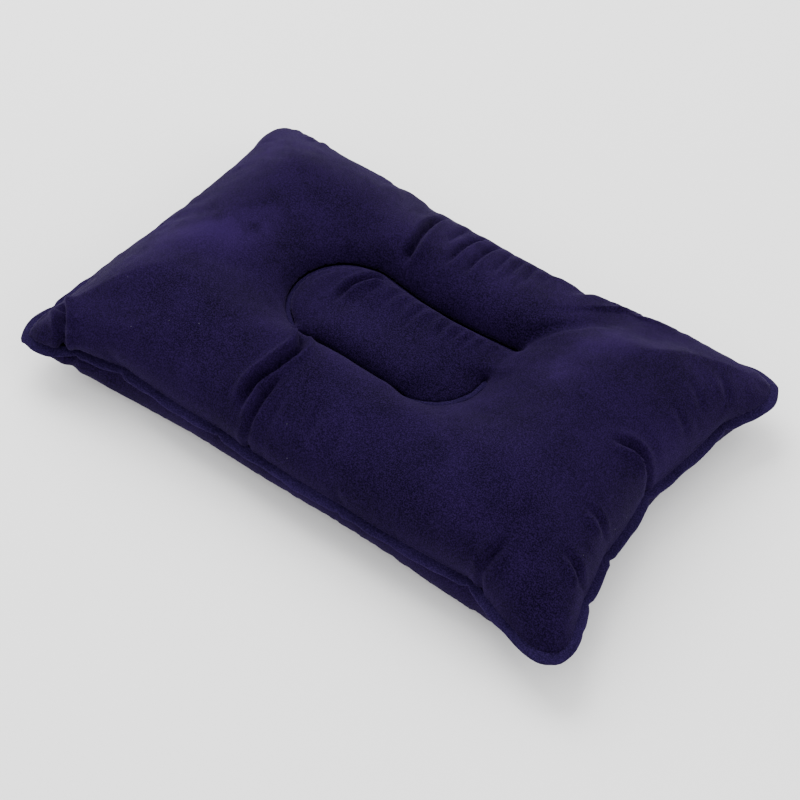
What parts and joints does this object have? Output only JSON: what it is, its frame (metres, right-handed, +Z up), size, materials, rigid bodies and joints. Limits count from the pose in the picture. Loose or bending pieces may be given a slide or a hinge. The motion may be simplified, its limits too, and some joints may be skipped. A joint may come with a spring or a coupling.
{
  "type": "inflatable camping pillow",
  "caption": "Rectangular inflatable camping pillow of flocked film, with a raised central island between two hooked welded seams and a push-in mouth valve underneath",
  "frame": {"origin": "on the supporting surface, under the middle of the pillow", "axes": "+X along the length, +Y across the width, +Z up; the valve is underneath, at the -X +Y corner"},
  "size_m": [0.31, 0.207, 0.0545],
  "materials": {
    "flocked_film": "matt velvet flock on vinyl film",
    "welded_edge": "flock pressed flat by the weld",
    "valve_body": "soft satin vinyl",
    "valve_plug": "soft satin vinyl",
    "flap_film": "thin clear film"
  },
  "bodies": {
    "pillow": {"top_panel": "flocked_film", "bottom_panel": "flocked_film", "rim_weld": "welded_edge", "rear_weld": "welded_edge", "front_weld": "welded_edge", "valve_base": "valve_body"},
    "valve": {"valve_stem": "valve_body", "valve_strap": "valve_plug"},
    "flap": {"valve_flap": "flap_film"},
    "plug": {"valve_plug": "valve_plug"}
  },
  "joints": [
    {"name": "valve_pull_out", "type": "slide", "parent": "pillow", "child": "valve", "axis": [-0.2876, 0.2876, -0.9135], "range_m": [0, 0.009]},
    {"name": "plug_pull", "type": "slide", "parent": "valve", "child": "plug", "axis": [-0.2876, 0.2876, -0.9135], "range_m": [0, 0.01], "deforming": ["valve_strap"]},
    {"name": "flap_swing", "type": "hinge", "parent": "valve", "child": "flap", "pos_m": [-0.12095, 0.07455, 0.02711], "axis": [-0.9568, -0.0432, 0.2876], "range_deg": [0, 60], "stiffness_Nm_per_rad": 0.00005}
  ]
}
